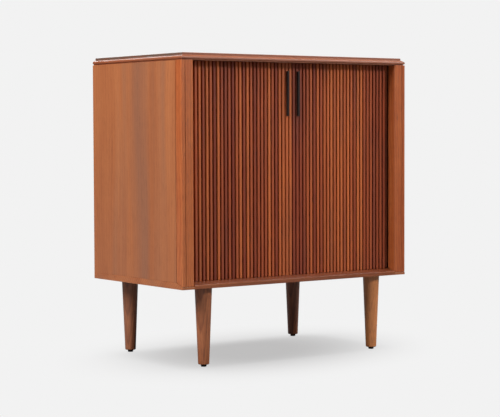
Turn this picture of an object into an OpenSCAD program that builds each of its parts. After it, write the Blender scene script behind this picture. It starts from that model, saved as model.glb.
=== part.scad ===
// Bedside table with two tambour doors that part in the middle and slide round the front corners.
// Origin: the middle of the footprint, on the floor. +X right, -Y front, +Z up. Millimetres.
// Inside the modules a depth is measured back from the front of the posts; at(depth) gives its Y.

/* [Case] */
// Width over the side panels and over the widest band of the top
case_w = 600; // [500:5:760]
// Depth from the front of the posts to the back
case_d = 352; // [310:2:460]
// Height from the floor to the top surface
case_h = 650; // [560:5:760]
// Thickness of the top panel
top_t = 15.5; // [14.5:0.5:20]
// Thickness of the bottom panel
bottom_t = 13.5; // [13:0.5:18]
// Thickness of the side panels
side_t = 15; // [14:0.5:18]
// Thickness of the plywood back
back_t = 6; // [4:0.5:8]
// Width of the rebate that the back lies in
rebate_w = 7; // [5.5:0.5:8]
// Gap round the back in its rebate
back_gap = 0.2; // [0.1:0.1:0.5]

/* [Edges] */
// How far the top surface lies inside the widest band of the top
step_inset = 7; // [4:0.5:12]
// Height of the square step round the top surface
step_h = 4.5; // [2:0.5:5.5]
// Height of the bevel between the step and the widest band
bevel_h = 4; // [2:0.5:6]
// Height of the widest band
band_h = 4; // [1:0.5:4.5]
// How far the neck under the band lies inside it
neck_inset = 2.5; // [1:0.5:4]
// Height of the slope from the band back to the neck
neck_slope_h = 1; // [0.5:0.5:2.5]
// Depth of the sill's bevel between the posts
sill_bevel_d = 22; // [10:1:24]
// Height of the sill's bevel
sill_bevel_h = 5; // [2:0.5:6]

/* [Front posts] */
// Width of a post, seen from the front
post_w = 29.5; // [24:0.5:34]
// Depth of a post
post_d = 22.5; // [22:0.5:32]
// Radius of a post's outer front edge
post_outer_r = 2; // [1:0.5:7]
// Radius of a post's inner front edge
post_inner_r = 5; // [1:0.5:9]
// Distance of the glue line from a post's outer face
seam_in = 8.5; // [8:0.5:10]
// Width of the fine groove along the glue line
seam_w = 1.2; // [0.4:0.1:2]
// How far a post's foot laps down over the bottom panel at the front
foot_lap = 8.5; // [3:0.5:9]

/* [Tambour] */
// Distance from one slat to the next
slat_pitch = 9.4; // [8.5:0.05:12]
// Open gap between two slats
slat_gap = 3.2; // [2:0.1:4]
// Thickness of a slat
slat_t = 6; // [5:0.25:7]
// Radius of a slat's front edges
slat_edge_r = 1.5; // [0.5:0.1:2]
// Thickness of the tongues that run in the grooves
tongue_t = 3.5; // [2.5:0.25:4]
// Thickness of the canvas behind the slats
canvas_t = 0.8; // [0.4:0.1:1.2]
// Distance from the ends of the slats to the edges of the canvas
canvas_margin = 4; // [3:0.5:25]
// Radius of the track's bend, at the middle of the tongues
bend_r = 22; // [18:1:30]
// Slats on each door past the start of the bend
tail_slats = 6; // [4:1:9]
// Gap between the posts and the doors
door_gap = 1; // [0.6:0.1:2]
// Gap between the slats and the side panel in the pocket
pocket_gap = 2; // [1.5:0.25:4]
// Depth of the track grooves
groove_h = 5; // [4:0.5:6]
// Side clearance of the tongues in the grooves
groove_gap = 0.5; // [0.3:0.1:1]
// Clearance under the tongues
foot_gap = 0.3; // [0.2:0.1:0.5]
// Clearance above the tongues
head_gap = 1; // [0.5:0.1:1.5]
// Clearance between the slats' shoulders and the panels
shoulder_gap = 0.5; // [0.3:0.1:1]

/* [Lead stiles and handles] */
// Slats' width that each lead stile takes up
lead_ribs = 3; // [3:1:4]
// Depth of the flutes in a lead stile
flute_d = 3.6; // [2.5:0.1:4]
// Gap between the closed doors
meet_gap = 0.8; // [0.4:0.1:2]
// Distance from a lead stile to the slat and canvas next to it
lead_gap = 0.3; // [0.1:0.1:0.5]
// Width of the batten behind a lead stile
batten_w = 22; // [18:1:24]
// Thickness of that batten
batten_t = 6; // [5:0.5:9]
// Length of a handle
handle_l = 96; // [70:1:160]
// Width of a handle, seen from the front
handle_w = 5; // [4.5:0.5:7]
// How far a handle stands out from the slats
handle_out = 6; // [5:0.5:12]
// Radius of a handle's front edges
handle_r = 1.2; // [0.5:0.1:1.8]
// Distance from the top panel down to a handle
handle_drop = 17.5; // [10:0.5:60]
// Distance between a handle's two screws
screw_spacing = 64; // [40:1:66]
// Shank radius of the handle screws
screw_r = 1.25; // [1:0.05:1.5]
// Head radius of the handle screws
screw_head_r = 2.6; // [2:0.1:3.5]
// Depth of the screws in the handle
screw_bite = 4.2; // [3:0.1:4.5]

/* [Interior] */
// Thickness of the inner sides that hide the pockets
liner_t = 8; // [8:0.5:12]
// Gap between the canvas and an inner side
liner_gap = 2.2; // [1.5:0.1:5]
// Depth of the housings that hold the inner sides
housing_h = 3; // [2:0.5:4]
// Thickness of the shelf
shelf_t = 14; // [12:0.5:20]
// Height of the shelf's top above the bottom panel
shelf_up = 226; // [150:1:260]
// Gap between the shelf and the inner sides, and between shelf and back
shelf_gap = 0.5; // [0.3:0.1:1.5]
// Distance of the shelf's front edge behind the front of the inner sides
shelf_set = 6; // [0:1:40]
// Radius of the shelf pins
pin_r = 2.5; // [2:0.25:3]
// Depth of the pin holes
pin_hole_h = 7; // [5:0.5:7]
// Length of a pin's plate under the shelf
pin_plate_l = 9; // [7:0.5:12]
// Distance of the pin holes from the shelf's front and back edges
pin_set = 40; // [25:1:60]
// Distance between the pin holes in a row
pin_step = 32; // [20:1:32]
// Holes in each row
pin_rows = 5; // [3:2:5]
// Side of the square door stops
stop_w = 10; // [8:0.5:12]
// Height of the door stops
stop_h = 9; // [6:0.5:12]

/* [Legs] */
// Height of the bottom panel's underside above the floor
leg_h = 166; // [120:1:220]
// Diameter at the top of a leg
leg_top_d = 36.5; // [32:0.5:42]
// Diameter at the bottom of a leg
leg_foot_d = 23.5; // [18:0.5:32]
// Distance of the legs' centres from the sides
leg_in_x = 72.5; // [60:0.5:110]
// Distance of the legs' centres from the front and the back
leg_in_y = 32; // [25:0.5:60]
// Radius of the rounded lower edge of a leg
leg_edge_r = 2; // [1:0.5:4]
// Diameter of the tenon on a leg
tenon_d = 22; // [16:1:28]
// Length of the tenon on a leg
tenon_h = 7; // [5:0.5:7]
// Diameter of the glides
glide_d = 12; // [10:0.5:18]
// Height of the glides
glide_h = 5; // [3:0.5:8]
// Radius of the glides' nails
nail_r = 1.5; // [1:0.25:2]
// Length of the glides' nails
nail_h = 14; // [10:1:20]

/* [Dowels and screws] */
// Radius of the dowels
dowel_r = 3.5; // [3:0.25:4]
// Depth of the dowels in the top panel and in the bottom panel
dowel_in_panel = 6.5; // [5:0.5:7]
// Depth of the dowels in the side panels and posts
dowel_in_side = 16; // [10:1:25]
// Shank radius of the back's screws
back_screw_r = 1.5; // [1:0.1:1.8]
// Head radius of the back's screws
back_head_r = 3; // [2.5:0.1:3.2]
// Length of the back's screws
back_screw_l = 22; // [15:1:30]
// Screws along each side of the back
back_screws_side = 4; // [2:1:6]
// Screws along the top and along the bottom of the back
back_screws_end = 2; // [2:1:4]
// Distance of the outermost side screws from the top and bottom panels
back_screw_set = 48; // [30:1:90]
// Distance of the outermost dowels from the post and from the back
dowel_set = 30; // [20:1:60]
// Clearance round dowels, pins, tenons and screws in their holes
hole_gap = 0.05; // [0.02:0.01:0.1]

/* [Hidden] */

$fn = 48;
LEFT = -1;
RIGHT = 1;
FRONT = -1;
REAR = 1;

// How far a cutting shape runs past the surface that it cuts.
past = 1;

// Heights of the panels' inner faces.
floor_z = leg_h + bottom_t;
ceiling_z = case_h - top_t;
inner_h = ceiling_z - floor_z;

// The track: along the front, round a quarter bend and back along the side.
// slat_face is the distance from the middle of the tongues to the slats' front faces.
slat_face = slat_t - tongue_t / 2;
side_in = case_w / 2 - side_t;
run_depth = post_d + door_gap + slat_face;
run_x = side_in - pocket_gap - slat_face;
bend_x = run_x - bend_r;
bend_depth = run_depth + bend_r;
bend_l = bend_r * PI / 2;
track_w = tongue_t + 2 * groove_gap;
track_end = case_d - back_t;

// Slats are numbered from the middle of the front.
slat_w = slat_pitch - slat_gap;
slat_count = ceil(bend_x / slat_pitch) + tail_slats;
lead_w = lead_ribs * slat_pitch - slat_gap / 2;
curtain_start = lead_w + lead_gap;
tail_end = slat_count * slat_pitch - slat_gap / 2;
back_face = tongue_t / 2;

// A lead stile slides until its edge comes to the start of the bend, where its batten meets the stop.
batten_x = meet_gap;
door_travel = bend_x - lead_w - lead_gap;
stop_clearance = 0.3;
stop_x = batten_x + batten_w + door_travel + stop_clearance;
stop_depth = run_depth + back_face + batten_t / 2;

// Inner sides, shelf and pins.
liner_out = run_x - back_face - canvas_t - liner_gap;
liner_in = liner_out - liner_t;
shelf_w = 2 * (liner_in - shelf_gap);
shelf_front = bend_depth + shelf_set;
shelf_back = track_end - shelf_gap;
shelf_z = floor_z + shelf_up - shelf_t;
pin_depths = [shelf_front + pin_set, shelf_back - pin_set];

// Handles.
handle_x = (floor(lead_ribs / 2) + 0.5) * slat_pitch;
handle_z = ceiling_z - handle_drop - handle_l;
handle_screw_zs = [for (k = [-0.5, 0.5]) handle_z + handle_l / 2 + k * screw_spacing];
screw_head_h = screw_head_r - screw_r;

// Dowels: three under each side panel and one under each post.
dowel_depths = [post_d + dowel_set, case_d / 2, track_end - dowel_set];
post_dowel_x = case_w / 2 - post_w / 2;

// The depths at which the back's rebate is cut and the heights of its edges.
rebate_out = side_in + rebate_w;
rebate_low = floor_z - rebate_w;
rebate_high = ceiling_z + rebate_w;
back_head_h = back_head_r - back_screw_r;

// The Y of a depth behind the front of the posts.
function at(depth) = depth - case_d / 2;

// The height of the bottom of a post at a depth: it slopes down to the front.
function post_foot(depth) = floor_z - foot_lap * (1 - depth / post_d);

// Place and turn of the track at a distance s from the middle of the front: [x, depth, angle].
function track(s) =
    s <= bend_x ? [s, run_depth, 0] :
    s <= bend_x + bend_l ?
        let (a = (s - bend_x) / bend_l * 90) [bend_x + bend_r * sin(a), bend_depth - bend_r * cos(a), a] :
    [run_x, bend_depth + s - bend_x - bend_l, 90];

// Draws a right-hand piece, or its mirror image on the left.
module on_side(side) {
    mirror([side < 0 ? 1 : 0, 0, 0]) children();
}

// Carries its children to a distance s along the right-hand track, facing outwards.
module on_track(s) {
    t = track(s);
    translate([t[0], at(t[1]), 0]) rotate([0, 0, t[2]]) children();
}

// A flat outline given as [depth, z] points, drawn out along X from x0 to x1.
module along_x(points, x0, x1) {
    translate([x0, at(0), 0]) rotate([90, 0, 90]) linear_extrude(x1 - x0) polygon(points);
}

// A flat outline given as [x, z] points, drawn out along Y from one depth to another.
module along_y(points, depth0, depth1) {
    translate([0, at(depth1), 0]) rotate([90, 0, 0]) linear_extrude(depth1 - depth0) polygon(points);
}

// A box from one corner to the other, given in x, depth and z.
module box(low, high) {
    translate([low[0], at(low[1]), low[2]]) cube(high - low);
}

// A round rod along Y from one depth to another.
module rod_y(r, x, z, depth0, depth1) {
    translate([x, at(depth0), z]) rotate([-90, 0, 0]) cylinder(r = r, h = depth1 - depth0);
}

// The right-hand track groove, seen from above, widened by the tongues' clearance.
module track_outline() {
    half = track_w / 2;
    translate([0, at(run_depth) - half]) square([bend_x, track_w]);
    translate([bend_x, at(bend_depth)]) intersection() {
        difference() {
            circle(r = bend_r + half);
            circle(r = bend_r - half);
        }
        translate([0, -bend_r - track_w]) square([bend_r + track_w, bend_r + track_w]);
    }
    translate([run_x - half, at(bend_depth)]) square([track_w, track_end - bend_depth + past]);
}

// Both track grooves, from z0 upwards.
module track_grooves(z0, h) {
    for (side = [LEFT, RIGHT]) on_side(side) translate([0, 0, z0]) linear_extrude(h) track_outline();
}

// The housings that take the inner sides, from z0 upwards.
module liner_housings(z0, h) {
    for (side = [LEFT, RIGHT]) on_side(side)
        box([liner_in - hole_gap, bend_depth - hole_gap, z0],
            [liner_out + hole_gap, track_end + past, z0 + h]);
}

// The places of the dowels on the right: [x, depth, height of the dowel's lower shoulder].
function dowel_places() = concat(
    [for (d = dowel_depths) [side_in + side_t / 2, d, floor_z]],
    [[post_dowel_x, post_d / 2, post_foot(post_d / 2)]]
);

// The dowels of both sides, with a clearance all round when their holes are cut.
module dowels(gap) {
    for (side = [LEFT, RIGHT], p = dowel_places()) on_side(side) translate([p[0], at(p[1]), 0]) {
        translate([0, 0, p[2] - dowel_in_panel - gap])
            cylinder(r = dowel_r + gap, h = dowel_in_panel + dowel_in_side + 2 * gap);
        translate([0, 0, ceiling_z - dowel_in_side - gap])
            cylinder(r = dowel_r + gap, h = dowel_in_panel + dowel_in_side + 2 * gap);
    }
}

// The back's screws: [x, z] of each.
function back_screw_places() =
    let (edge_x = side_in + rebate_w / 2, low = floor_z - rebate_w / 2, high = ceiling_z + rebate_w / 2)
    let (side_step = (inner_h - 2 * back_screw_set) / (back_screws_side - 1))
    let (end_step = 2 * side_in / back_screws_end)
    concat(
        [for (s = [LEFT, RIGHT], k = [0 : back_screws_side - 1])
            [s * edge_x, floor_z + back_screw_set + k * side_step]],
        [for (z = [low, high], k = [0 : back_screws_end - 1])
            [(k - (back_screws_end - 1) / 2) * end_step, z]]
    );

// A countersunk head along Y from a depth to h behind it, its cone carried on past its face by beyond.
module screw_head(r1, r2, x, z, depth, h, beyond) {
    translate([x, at(depth), z]) rotate([-90, 0, 0])
        cylinder(r1 = r1, r2 = r2 + beyond * (r2 - r1) / h, h = h + beyond);
}

// All of the back's screws, their heads flush with it. Their holes are cut with a clearance all round
// and run beyond the surface.
module screws_of_back(gap = 0, beyond = 0) {
    neck = case_d - back_head_h;
    for (p = back_screw_places()) {
        rod_y(back_screw_r + gap, p[0], p[1], case_d - back_screw_l - gap, neck);
        screw_head(back_screw_r + gap, back_head_r + gap, p[0], p[1], neck, back_head_h, beyond);
    }
}

// The room that the rebate for the back takes out of a panel, from z0 to z1.
module back_rebate(z0, z1) {
    box([-rebate_out - back_gap, track_end, z0], [rebate_out + back_gap, case_d + past, z1]);
}

module top_panel() {
    half = case_w / 2;
    step_z = case_h - step_h;
    band_z = step_z - bevel_h;
    slope_z = band_z - band_h;
    neck_z = slope_z - neck_slope_h;
    color("peru") difference() {
        intersection() {
            along_y([
                [half - neck_inset, ceiling_z], [half - neck_inset, neck_z], [half, slope_z],
                [half, band_z], [half - step_inset, step_z], [half - step_inset, case_h],
                [step_inset - half, case_h], [step_inset - half, step_z], [-half, band_z],
                [-half, slope_z], [neck_inset - half, neck_z], [neck_inset - half, ceiling_z]
            ], 0, case_d);
            along_x([
                [neck_inset, ceiling_z], [case_d, ceiling_z], [case_d, case_h], [step_inset, case_h],
                [step_inset, step_z], [0, band_z], [0, slope_z], [neck_inset, neck_z]
            ], -half, half);
        }
        track_grooves(ceiling_z - past, groove_h + past);
        liner_housings(ceiling_z - past, housing_h + past);
        back_rebate(ceiling_z - past, rebate_high + back_gap);
        dowels(hole_gap);
        screws_of_back(hole_gap, past);
    }
}

module bottom_panel() {
    color("peru") difference() {
        box([-case_w / 2, 0, leg_h], [case_w / 2, case_d, floor_z]);
        along_x([
            [-past, floor_z - sill_bevel_h * (1 + past / sill_bevel_d)], [sill_bevel_d, floor_z],
            [sill_bevel_d, floor_z + past], [-past, floor_z + past]
        ], post_w - case_w / 2, case_w / 2 - post_w);
        for (side = [LEFT, RIGHT]) on_side(side) along_x([
            [-past, post_foot(-past)], [post_d, floor_z], [post_d, floor_z + past], [-past, floor_z + past]
        ], case_w / 2 - post_w, case_w / 2 + past);
        track_grooves(floor_z - groove_h, groove_h + past);
        liner_housings(floor_z - housing_h, housing_h + past);
        back_rebate(rebate_low - back_gap, floor_z + past);
        dowels(hole_gap);
        screws_of_back(hole_gap, past);
        each_leg() translate([0, 0, leg_h - past])
            cylinder(d = tenon_d + 2 * hole_gap, h = tenon_h + hole_gap + past);
    }
}

module side_panel(side) {
    color("chocolate") difference() {
        on_side(side) difference() {
            box([side_in, post_d, floor_z], [case_w / 2, case_d, ceiling_z]);
            box([side_in - past, track_end, floor_z - past],
                [rebate_out + back_gap, case_d + past, ceiling_z + past]);
        }
        dowels(hole_gap);
        screws_of_back(hole_gap, past);
    }
}

// A right-hand post seen from above: rounded front edges and a fine groove along the glue line.
module post_outline() {
    out = case_w / 2;
    in = out - post_w;
    front_r = max(post_outer_r, post_inner_r);
    difference() {
        union() {
            translate([in, at(front_r)]) square([post_w, post_d - front_r]);
            translate([in + post_inner_r, at(0)]) square([post_w - post_inner_r - post_outer_r, front_r]);
            translate([in + post_inner_r, at(post_inner_r)]) circle(r = post_inner_r);
            translate([out - post_outer_r, at(post_outer_r)]) circle(r = post_outer_r);
            translate([in, at(post_inner_r)]) square([post_inner_r, front_r - post_inner_r + past]);
            translate([out - post_outer_r, at(post_outer_r)])
                square([post_outer_r, front_r - post_outer_r + past]);
        }
        translate([out - seam_in, at(0)]) rotate([0, 0, 45]) square(seam_w, center = true);
    }
}

module front_post(side) {
    color("sienna") difference() {
        on_side(side) difference() {
            translate([0, 0, leg_h]) linear_extrude(ceiling_z - leg_h) post_outline();
            along_x([
                [-past, leg_h - past], [post_d + past, leg_h - past],
                [post_d + past, post_foot(post_d + past)], [-past, post_foot(-past)]
            ], case_w / 2 - post_w - past, case_w / 2 + past);
        }
        dowels(hole_gap);
    }
}

module back_panel() {
    color("burlywood") difference() {
        box([-rebate_out, track_end, rebate_low], [rebate_out, case_d, rebate_high]);
        screws_of_back(hole_gap, past);
    }
}

// The heights of the pin holes; the shelf lies on pins in the middle ones.
function pin_heights() = [
    for (k = [0 : pin_rows - 1]) shelf_z - pin_r + (k - (pin_rows - 1) / 2) * pin_step
];

module liner(side) {
    color("tan") on_side(side) difference() {
        box([liner_in, bend_depth, floor_z - housing_h + hole_gap],
            [liner_out, track_end, ceiling_z + housing_h - hole_gap]);
        for (d = pin_depths, z = pin_heights()) translate([liner_in - past, at(d), z])
            rotate([0, 90, 0]) cylinder(r = pin_r + hole_gap, h = pin_hole_h + past);
    }
}

module shelf() {
    color("tan") box([-shelf_w / 2, shelf_front, shelf_z], [shelf_w / 2, shelf_back, shelf_z + shelf_t]);
}

// Steel pins: a round shank in the inner side and a flat plate under the shelf.
module shelf_pins() {
    plate_w = 4 * pin_r;
    color("silver") for (side = [LEFT, RIGHT], d = pin_depths) on_side(side)
        translate([liner_in, at(d), shelf_z - pin_r]) {
            rotate([0, 90, 0]) cylinder(r = pin_r, h = pin_hole_h - hole_gap);
            translate([-pin_plate_l, -plate_w / 2, 0]) cube([pin_plate_l, plate_w, pin_r]);
        }
}

// A small block under the top panel, in the way of the batten but not of the canvas.
module door_stop(side) {
    color("burlywood") on_side(side)
        box([stop_x, stop_depth, ceiling_z - stop_h], [stop_x + stop_w, stop_depth + stop_w, ceiling_z]);
}

module case_dowels() {
    color("wheat") dowels(0);
}

module back_screws() {
    color("silver") screws_of_back();
}

// Carries its children to the place of each leg, or of one leg.
module at_leg(side, end) {
    translate([side * (case_w / 2 - leg_in_x), end * (case_d / 2 - leg_in_y), 0]) children();
}

module each_leg() {
    for (side = [LEFT, RIGHT], end = [FRONT, REAR]) at_leg(side, end) children();
}

// A turned leg: a straight taper with a rounded lower edge and a tenon on top.
module leg(side, end) {
    foot_r = leg_foot_d / 2;
    edge = [for (a = [0 : 15 : 90])
        [foot_r - leg_edge_r * (1 - sin(a)), glide_h + leg_edge_r * (1 - cos(a))]];
    color("saddlebrown") at_leg(side, end) difference() {
        rotate_extrude() polygon(concat([[0, glide_h]], edge, [
            [leg_top_d / 2, leg_h], [tenon_d / 2, leg_h], [tenon_d / 2, leg_h + tenon_h], [0, leg_h + tenon_h]
        ]));
        translate([0, 0, glide_h - past]) cylinder(r = nail_r + hole_gap, h = nail_h + hole_gap + past);
    }
}

module glide(side, end) {
    color("black") at_leg(side, end) {
        cylinder(d = glide_d, h = glide_h);
        cylinder(r = nail_r, h = glide_h + nail_h);
    }
}

// A slat seen from above, its back at -back_face and its rounded front at slat_face.
module slat_outline() {
    w = slat_w;
    r = slat_edge_r;
    translate([-w / 2, -slat_face + r]) square([w, slat_t - r]);
    translate([-w / 2 + r, -slat_face]) square([w - 2 * r, slat_t]);
    for (x = [-w / 2 + r, w / 2 - r]) translate([x, -slat_face + r]) circle(r = r);
}

// One slat: the shouldered body between the panels and the tongues in the grooves.
module slat() {
    tongue_low = floor_z - groove_h + foot_gap;
    tongue_high = ceiling_z + groove_h - head_gap;
    translate([0, 0, floor_z + shoulder_gap]) linear_extrude(inner_h - 2 * shoulder_gap) slat_outline();
    translate([-slat_w / 2, -back_face, tongue_low]) cube([slat_w, tongue_t, tongue_high - tongue_low]);
}

module slats(side) {
    color("brown") on_side(side) for (k = [lead_ribs : slat_count - 1])
        on_track((k + 0.5) * slat_pitch) slat();
}

// The canvas glued behind the slats, seen from above.
module canvas_outline() {
    depth = run_depth + back_face;
    outer_r = bend_r - back_face;
    tail_l = tail_end - bend_x - bend_l;
    translate([curtain_start, at(depth)]) square([bend_x - curtain_start, canvas_t]);
    translate([bend_x, at(bend_depth)]) intersection() {
        difference() {
            circle(r = outer_r);
            circle(r = outer_r - canvas_t);
        }
        translate([0, -bend_r]) square(bend_r);
    }
    translate([bend_x + outer_r - canvas_t, at(bend_depth)]) square([canvas_t, tail_l]);
}

module canvas(side) {
    color("darkolivegreen") on_side(side) translate([0, 0, floor_z + canvas_margin])
        linear_extrude(inner_h - 2 * canvas_margin) canvas_outline();
}

// The fluted stile that leads a door, with a batten behind it.
module lead_stile(side) {
    edge_x = meet_gap / 2;
    front = run_depth - slat_face;
    back = run_depth + back_face;
    color("brown") on_side(side) difference() {
        union() {
            box([edge_x, front + flute_d, floor_z + shoulder_gap], [lead_w, back, ceiling_z - shoulder_gap]);
            box([edge_x, back - tongue_t, floor_z - groove_h + foot_gap],
                [lead_w, back, ceiling_z + groove_h - head_gap]);
            box([batten_x, back, floor_z + shoulder_gap],
                [batten_x + batten_w, back + batten_t, ceiling_z - shoulder_gap]);
            for (k = [0 : lead_ribs - 1])
                translate([(k + 0.5) * slat_pitch, at(run_depth), floor_z + shoulder_gap])
                    linear_extrude(inner_h - 2 * shoulder_gap) slat_outline();
        }
        screws_of_handle(hole_gap, past);
    }
}

// The two screws of a right-hand handle, driven from behind the batten, or their holes.
module screws_of_handle(gap = 0, beyond = 0) {
    neck = run_depth + back_face + batten_t - screw_head_h;
    tip = run_depth - slat_face - screw_bite;
    for (z = handle_screw_zs) {
        rod_y(screw_r + gap, handle_x, z, tip - gap, neck);
        screw_head(screw_r + gap, screw_head_r + gap, handle_x, z, neck, screw_head_h, beyond);
    }
}

module handle_screws(side) {
    color("silver") on_side(side) screws_of_handle();
}

// A plain bar with rounded front edges, seated on the middle rib of the lead stile.
module handle(side) {
    seat = run_depth - slat_face;
    front = seat - handle_out;
    color("black") on_side(side) difference() {
        translate([handle_x, 0, handle_z]) linear_extrude(handle_l) {
            translate([-handle_w / 2, at(front + handle_r)]) square([handle_w, handle_out - handle_r]);
            translate([-handle_w / 2 + handle_r, at(front)]) square([handle_w - 2 * handle_r, handle_out]);
            for (s = [-1, 1]) translate([s * (handle_w / 2 - handle_r), at(front + handle_r)])
                circle(r = handle_r);
        }
        screws_of_handle(hole_gap, past);
    }
}

top_panel();
bottom_panel();
side_panel(LEFT);  // left_side_panel
side_panel(RIGHT);  // right_side_panel
front_post(LEFT);  // left_front_post
front_post(RIGHT);  // right_front_post
back_panel();
liner(LEFT);  // left_liner
liner(RIGHT);  // right_liner
shelf();
shelf_pins();
door_stop(LEFT);  // left_door_stop
door_stop(RIGHT);  // right_door_stop
case_dowels();
back_screws();
leg(LEFT, FRONT);  // front_left_leg
leg(RIGHT, FRONT);  // front_right_leg
leg(LEFT, REAR);  // rear_left_leg
leg(RIGHT, REAR);  // rear_right_leg
glide(LEFT, FRONT);  // front_left_glide
glide(RIGHT, FRONT);  // front_right_glide
glide(LEFT, REAR);  // rear_left_glide
glide(RIGHT, REAR);  // rear_right_glide
slats(LEFT);  // left_slats
slats(RIGHT);  // right_slats
canvas(LEFT);  // left_canvas
canvas(RIGHT);  // right_canvas
lead_stile(LEFT);  // left_lead_stile
lead_stile(RIGHT);  // right_lead_stile
handle(LEFT);  // left_handle
handle(RIGHT);  // right_handle
handle_screws(LEFT);  // left_handle_screws
handle_screws(RIGHT);  // right_handle_screws
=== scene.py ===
"""The looks of a walnut bedside table with two tambour doors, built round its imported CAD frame.

Every solid is a skin through rings of points (loft). A ring is a rounded outline, and the rings follow a
profile: the eased ends of a board, the moulded edge of the top, the turned leg, or the track of the slats.
All lengths are metres in the frame's own axes: +X right, -Y front, +Z up, origin on the floor.
"""

import math

import bmesh
import bpy
import numpy as np
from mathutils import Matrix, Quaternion, Vector


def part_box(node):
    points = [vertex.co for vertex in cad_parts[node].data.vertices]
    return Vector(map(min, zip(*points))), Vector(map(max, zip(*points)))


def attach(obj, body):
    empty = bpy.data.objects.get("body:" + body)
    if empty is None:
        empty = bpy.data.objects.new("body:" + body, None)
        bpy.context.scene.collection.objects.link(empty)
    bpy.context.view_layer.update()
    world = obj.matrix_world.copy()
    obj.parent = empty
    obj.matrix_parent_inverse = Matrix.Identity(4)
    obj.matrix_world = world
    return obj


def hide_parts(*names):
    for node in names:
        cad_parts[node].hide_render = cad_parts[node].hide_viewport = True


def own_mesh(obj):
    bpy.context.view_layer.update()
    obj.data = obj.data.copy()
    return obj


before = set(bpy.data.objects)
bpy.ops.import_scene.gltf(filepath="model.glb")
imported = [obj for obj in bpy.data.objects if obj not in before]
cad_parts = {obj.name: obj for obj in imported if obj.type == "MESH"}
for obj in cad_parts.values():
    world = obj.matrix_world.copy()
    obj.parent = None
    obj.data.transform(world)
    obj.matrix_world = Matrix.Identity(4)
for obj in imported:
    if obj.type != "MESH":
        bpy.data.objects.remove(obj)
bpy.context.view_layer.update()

MM = 0.001
LEFT, RIGHT = -1, 1
SIDES = {"left": LEFT, "right": RIGHT}


# ----------------------------
# Sizes: from the frame where it holds them, and otherwise as in the construction
# ----------------------------

top_low, top_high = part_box("top_panel")
bottom_low, bottom_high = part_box("bottom_panel")
side_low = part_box("right_side_panel")[0]
post_low, post_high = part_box("right_front_post")
back_low, back_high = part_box("back_panel")
liner_low, liner_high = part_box("right_liner")
shelf_low, shelf_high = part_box("shelf")
stop_low, stop_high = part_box("right_door_stop")
leg_low, leg_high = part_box("front_right_leg")
glide_low, glide_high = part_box("front_right_glide")
slats_low, slats_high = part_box("right_slats")
stile_low, stile_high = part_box("right_lead_stile")
handle_low, handle_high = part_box("right_handle")

half_w = top_high.x
front_y, back_y = top_low.y, top_high.y
case_h = top_high.z
ceiling_z = top_low.z
floor_z = bottom_high.z
leg_h = bottom_low.z

# Moulded edge of the top
STEP_INSET, STEP_H, BEVEL_H, BAND_H = 7 * MM, 4.5 * MM, 4 * MM, 4 * MM
NECK_INSET, NECK_SLOPE_H = 2.5 * MM, 1 * MM

# Sill
SILL_BEVEL_D, SILL_BEVEL_H = 22 * MM, 5 * MM

# Posts
POST_OUTER_R, POST_INNER_R = 2 * MM, 5 * MM
SEAM_IN, SEAM_W, SEAM_D = 8.5 * MM, 1.2 * MM, 2 * MM
QUIRK_W, QUIRK_D, FOOT_IN = 1.3 * MM, 9 * MM, 3 * MM

# Tambour
SLAT_PITCH, SLAT_GAP = 9.4 * MM, 3.2 * MM
SLAT_T, SLAT_EDGE_R, TONGUE_T = 6 * MM, 1.5 * MM, 3.5 * MM
CANVAS_T, CANVAS_MARGIN = 0.8 * MM, 4 * MM
BEND_R, TAIL_SLATS = 22 * MM, 6
DOOR_GAP, POCKET_GAP = 1 * MM, 2 * MM
GROOVE_H, GROOVE_GAP, SHOULDER_GAP = 5 * MM, 0.5 * MM, 0.5 * MM
LEAD_RIBS, FLUTE_D, MEET_GAP, LEAD_GAP = 3, 3.6 * MM, 0.8 * MM, 0.3 * MM
BATTEN_W, BATTEN_T = 22 * MM, 6 * MM

# Interior
REBATE_W, BACK_GAP, HOUSING_H = 7 * MM, 0.2 * MM, 3 * MM
PIN_R, PIN_HOLE_H, PIN_SET, PIN_STEP, PIN_ROWS = 2.5 * MM, 7 * MM, 40 * MM, 32 * MM, 5

# Legs and glides
LEG_TOP_R, LEG_FOOT_R, LEG_EDGE_R = 18.25 * MM, 11.75 * MM, 2 * MM
TENON_R, TENON_H, NAIL_R = 11 * MM, 7 * MM, 1.5 * MM

# Screws of the back
BACK_SCREW_R, BACK_HEAD_R, BACK_SCREW_L = 1.5 * MM, 3 * MM, 22 * MM
BACK_SCREWS_SIDE, BACK_SCREWS_END, BACK_SCREW_SET = 4, 2, 48 * MM

# Easing of edges that a cabinet maker rounds with sandpaper, and the roundings of whole outlines, corner
# by corner in the order in which they are drawn
EASE = 0.6 * MM
TOP_PROFILE_R, TOP_OUTLINE_R = np.array([1, .4, .4, .5, 3, .5, .9, 1]) * MM, np.array([1.2, 1.2, .8, .8]) * MM
BOTTOM_R = np.array([1, .6, .5, .5, .8]) * MM
SIDE_R = np.array([.4, .1, .1, .3, .8, .4, .3, .4]) * MM
POST_R = np.array([POST_INNER_R, .15 * MM, .1 * MM, .1 * MM, .15 * MM, POST_OUTER_R, .3 * MM, .4 * MM])
SLAT_R = np.array([SLAT_EDGE_R, SLAT_EDGE_R, .3 * MM, .3 * MM])
HANDLE_R = np.array([1.2, 1.2, .3, .3]) * MM

# Shades of single boards, from about 0 for the darkest wood of their finish to about 1 for the palest
# Two of these are painted shade: the step's at the top's ends and the bottom's on its upward faces.
STEP_PAINTED_SHADE_TONE, BOTTOM_END_TONE, BOTTOM_UP_SHADE_TONE, SILL_TONE = 0.1, 0.85, 0.05, 0.42
# The left stile is paler partly as painted highlight on its ribs, and partly its own wood.
POST_TONE, STILE_TONE_AND_HIGHLIGHT = {LEFT: 0.58, RIGHT: 0.42}, {LEFT: 0.85, RIGHT: 0.2}
# Front right, front left, rear right and rear left. The front right leg is paler as painted light from the
# right, and the rear right leg darker as painted shade under the table.
LEG_LIGHT_TONES = (1.06, 0.38, 0.12, 0.4)

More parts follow.
